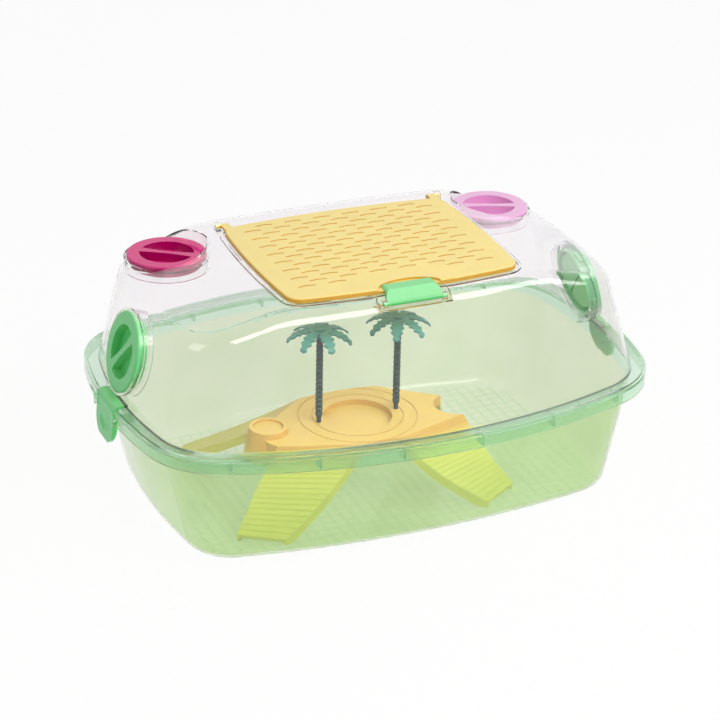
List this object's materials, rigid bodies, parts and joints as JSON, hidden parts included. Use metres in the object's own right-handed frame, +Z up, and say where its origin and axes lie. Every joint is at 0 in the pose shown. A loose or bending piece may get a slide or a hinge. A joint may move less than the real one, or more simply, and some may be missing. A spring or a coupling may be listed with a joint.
{
  "type": "turtle tank",
  "caption": "Translucent pet tank with a clear domed cover, hinged slotted door, side clips, port plugs, and an island with ramps and palms.",
  "frame": {"origin": "centre of the tub's underside, on the surface it stands on", "axes": "+X along the length to the right end, +Y to the rear where the door is hinged, +Z up"},
  "size_m": [0.5582, 0.396, 0.2553],
  "materials": {
    "tub_plastic": "translucent moulded polypropylene",
    "clear_plastic": "clear moulded polystyrene",
    "sand_plastic": "moulded, semi-gloss",
    "green_plastic": "translucent moulded, semi-gloss",
    "magenta_plastic": "translucent moulded, gloss",
    "orchid_plastic": "translucent moulded, gloss",
    "dark_green_plastic": "moulded, satin",
    "teal_plastic": "moulded, satin"
  },
  "bodies": {
    "tub": {"tub": "tub_plastic"},
    "dome": {"dome": "clear_plastic"},
    "door": {"door": "sand_plastic"},
    "latch": {"door_latch": "green_plastic"},
    "left_clip": {"left_clip": "green_plastic"},
    "right_clip": {"right_clip": "green_plastic"},
    "left_roof_plug": {"left_roof_plug": "magenta_plastic"},
    "right_roof_plug": {"right_roof_plug": "orchid_plastic"},
    "left_end_plug": {"left_end_plug": "green_plastic"},
    "right_end_plug": {"right_end_plug": "green_plastic"},
    "island": {"island": "sand_plastic"},
    "left_palm": {"left_palm_trunk": "dark_green_plastic", "left_palm_crown": "teal_plastic"},
    "right_palm": {"right_palm_trunk": "dark_green_plastic", "right_palm_crown": "teal_plastic"}
  },
  "joints": [
    {"name": "dome_lift", "type": "slide", "parent": "tub", "child": "dome", "axis": [0, 0, 1], "range_m": [0, 0.25]},
    {"name": "door_hinge", "type": "hinge", "parent": "dome", "child": "door", "pos_m": [0, 0.1002, 0.2503], "axis": [-1, 0, 0], "range_deg": [0, 110]},
    {"name": "latch_swing", "type": "hinge", "parent": "dome", "child": "latch", "pos_m": [0, -0.1175, 0.2414], "axis": [1, 0, 0], "range_deg": [0, 75]},
    {"name": "left_clip_swing", "type": "hinge", "parent": "tub", "child": "left_clip", "pos_m": [-0.2743, 0, 0.1175], "axis": [0, -1, 0], "range_deg": [0, 32]},
    {"name": "right_clip_swing", "type": "hinge", "parent": "tub", "child": "right_clip", "pos_m": [0.2743, 0, 0.1175], "axis": [0, 1, 0], "range_deg": [0, 32]},
    {"name": "left_roof_plug_pull", "type": "slide", "parent": "dome", "child": "left_roof_plug", "axis": [0, 0, 1], "range_m": [0, 0.055]},
    {"name": "right_roof_plug_pull", "type": "slide", "parent": "dome", "child": "right_roof_plug", "axis": [0, 0, 1], "range_m": [0, 0.055]},
    {"name": "left_end_plug_pull", "type": "slide", "parent": "dome", "child": "left_end_plug", "axis": [-0.9668, 0, 0.2557], "range_m": [0, 0.055]},
    {"name": "right_end_plug_pull", "type": "slide", "parent": "dome", "child": "right_end_plug", "axis": [0.9668, 0, 0.2557], "range_m": [0, 0.055]},
    {"name": "island_lift", "type": "slide", "parent": "tub", "child": "island", "axis": [0, 0, 1], "range_m": [0, 0.02]},
    {"name": "left_palm_lift", "type": "slide", "parent": "island", "child": "left_palm", "axis": [0, 0, 1], "range_m": [0, 0.025]},
    {"name": "right_palm_lift", "type": "slide", "parent": "island", "child": "right_palm", "axis": [0, 0, 1], "range_m": [0, 0.025]}
  ]
}
